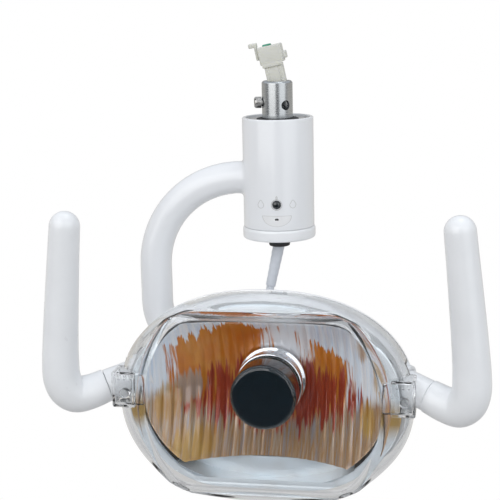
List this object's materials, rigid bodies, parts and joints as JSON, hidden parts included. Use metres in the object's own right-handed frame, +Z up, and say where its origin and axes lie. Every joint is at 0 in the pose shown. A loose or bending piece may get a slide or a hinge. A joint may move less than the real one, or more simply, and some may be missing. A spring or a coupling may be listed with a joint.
{
  "type": "dental operating light",
  "caption": "Arm-mounted dental operating light: swivelling sensor housing, C-shaped arm and tilting halogen head with clear shield and two handles.",
  "frame": {"origin": "on the spigot's axis, level with the top of the housing, where the light meets the arm that carries it", "axes": "+Z up along the spigot; the light shines along -Y at rest; +X along the head's tilt axis"},
  "size_m": [0.3468, 0.1504, 0.354],
  "materials": {
    "white_enamel": "high gloss white powder coat",
    "white_enamel_cast": "gloss white powder coat on a casting",
    "white_plastic": "gloss white moulding",
    "brushed_steel": "fine brushed",
    "spring_steel": "hardened, oiled",
    "bronze": "turned bronze",
    "aluminium": "turned",
    "chrome": "polished",
    "black_enamel": "gloss black stove enamel",
    "black_gloss": "gloss",
    "black_rubber": "matt",
    "grey_silicone": "matt",
    "clear_polycarbonate": "clear, polished",
    "sensor_window": "translucent moulding",
    "clear_glass": "clear",
    "dichroic_glass": "fluted, dichroic coating",
    "silver_plastic": "metallised",
    "nylon": "natural, translucent",
    "green_plastic": "moulded",
    "cable_grey": "smooth sheath",
    "circuit_board": "solder mask",
    "ceramic": "unglazed",
    "fibre": "pressed friction fibre"
  },
  "bodies": {
    "spigot": {"spigot_tube": "brushed_steel", "locking_screw": "brushed_steel", "retaining_ring": "spring_steel", "stop_pin": "spring_steel", "plug_sleeve": "nylon", "plug_shell": "nylon", "plug_latch": "nylon", "earth_terminal": "green_plastic", "supply_contacts": "bronze", "supply_lead": "cable_grey"},
    "housing": {"housing_sleeve": "white_enamel", "end_plate": "brushed_steel", "dust_seal": "black_rubber", "bearing_carrier": "aluminium", "upper_bush": "bronze", "lower_bush": "bronze", "thrust_washer": "nylon", "stop_screw": "spring_steel", "bottom_cap": "white_plastic", "cap_screw_1": "brushed_steel", "cap_screw_2": "brushed_steel", "indicator_lamp": "black_gloss", "sensor_lens": "sensor_window", "sensor_board": "circuit_board", "infrared_emitter": "black_gloss", "infrared_receiver": "black_gloss", "power_relay": "black_gloss", "terminal_block": "nylon", "lamp_cable": "cable_grey", "strain_relief": "cable_grey", "cable_grommet": "black_rubber", "arm_tube": "white_enamel", "pivot_shaft": "brushed_steel", "arm_collar": "white_plastic", "friction_washer_left": "fibre", "friction_washer_right": "fibre", "disc_spring": "spring_steel", "lock_nut": "spring_steel", "pivot_cap": "white_plastic"},
    "head": {"pivot_bush": "bronze", "pivot_bracket": "white_enamel_cast", "bracket_screw_1": "brushed_steel", "bracket_screw_2": "brushed_steel", "rear_cover": "white_plastic", "rim_seal": "grey_silicone", "reflector": "dichroic_glass", "reflector_frame": "silver_plastic", "lamp_holder": "ceramic", "lamp_collar": "chrome", "lamp_glass": "clear_glass", "halogen_bulb": "clear_glass", "lamp_cap": "black_enamel", "head_gland": "black_rubber", "handle_stub_right": "white_plastic", "handle_stub_left": "white_plastic"},
    "shield": {"front_shield": "clear_polycarbonate", "shield_catch_right": "clear_polycarbonate", "shield_catch_left": "clear_polycarbonate"},
    "handle_r": {"handle_right": "white_plastic"},
    "handle_l": {"handle_left": "white_plastic"}
  },
  "joints": [
    {"name": "swivel", "type": "hinge", "parent": "spigot", "child": "housing", "pos_m": [0, 0, -0.025], "axis": [0, 0, 1], "range_deg": [-160, 160]},
    {"name": "head_tilt", "type": "hinge", "parent": "housing", "child": "head", "pos_m": [0, 0, -0.2], "axis": [1, 0, 0], "range_deg": [-20, 60], "deforming": ["lamp_cable"]},
    {"name": "shield_pull", "type": "slide", "parent": "head", "child": "shield", "axis": [0, -1, 0], "range_m": [0, 0.06]},
    {"name": "handle_right_pull", "type": "slide", "parent": "head", "child": "handle_r", "axis": [0.8729, -0.4029, -0.2753], "range_m": [0, 0.03]},
    {"name": "handle_left_pull", "type": "slide", "parent": "head", "child": "handle_l", "axis": [-0.8729, -0.4029, -0.2753], "range_m": [0, 0.03]}
  ]
}
